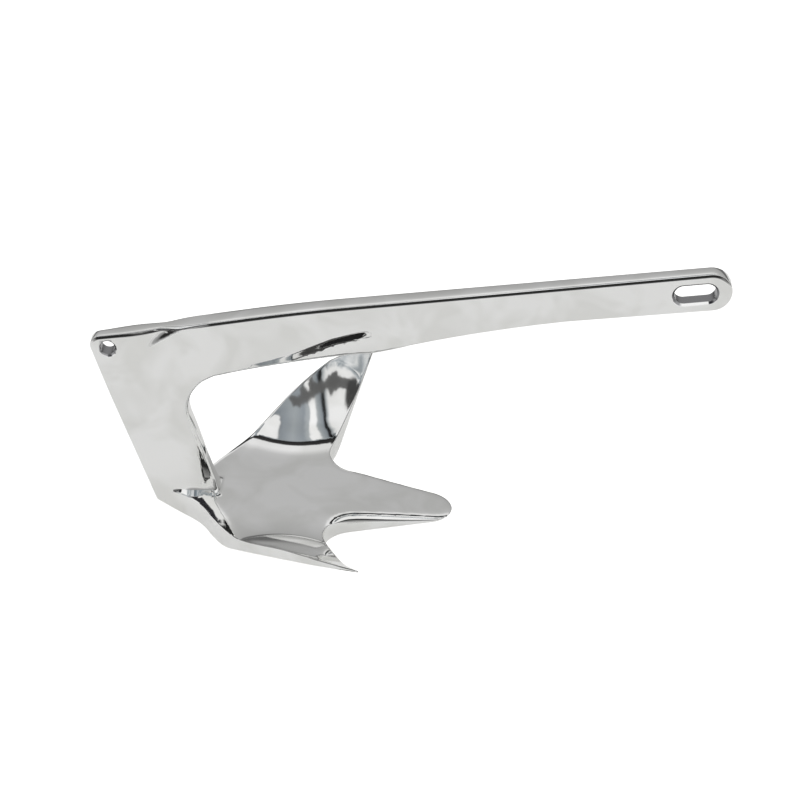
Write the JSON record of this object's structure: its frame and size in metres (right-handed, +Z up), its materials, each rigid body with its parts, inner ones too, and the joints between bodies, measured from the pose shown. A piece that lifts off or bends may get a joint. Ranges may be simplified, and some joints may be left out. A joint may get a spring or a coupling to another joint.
{
  "type": "claw anchor",
  "caption": "One-piece polished claw anchor: long flat-sided shank with a slotted ring end and a trip-line hole, bent down to a scooped claw with raised side flukes and a centre toe.",
  "frame": {"origin": "middle of the bounding box's bottom face, on the plane of the claw's flat sole", "axes": "+X along the shank from the crown to the ring end, +Y across the claw, +Z up from the sole towards the shank"},
  "size_m": [0.5124, 0.34, 0.2282],
  "materials": {
    "steel": "mirror polished cast stainless steel"
  },
  "bodies": {
    "root": {"claw_anchor": "steel"}
  },
  "joints": []
}
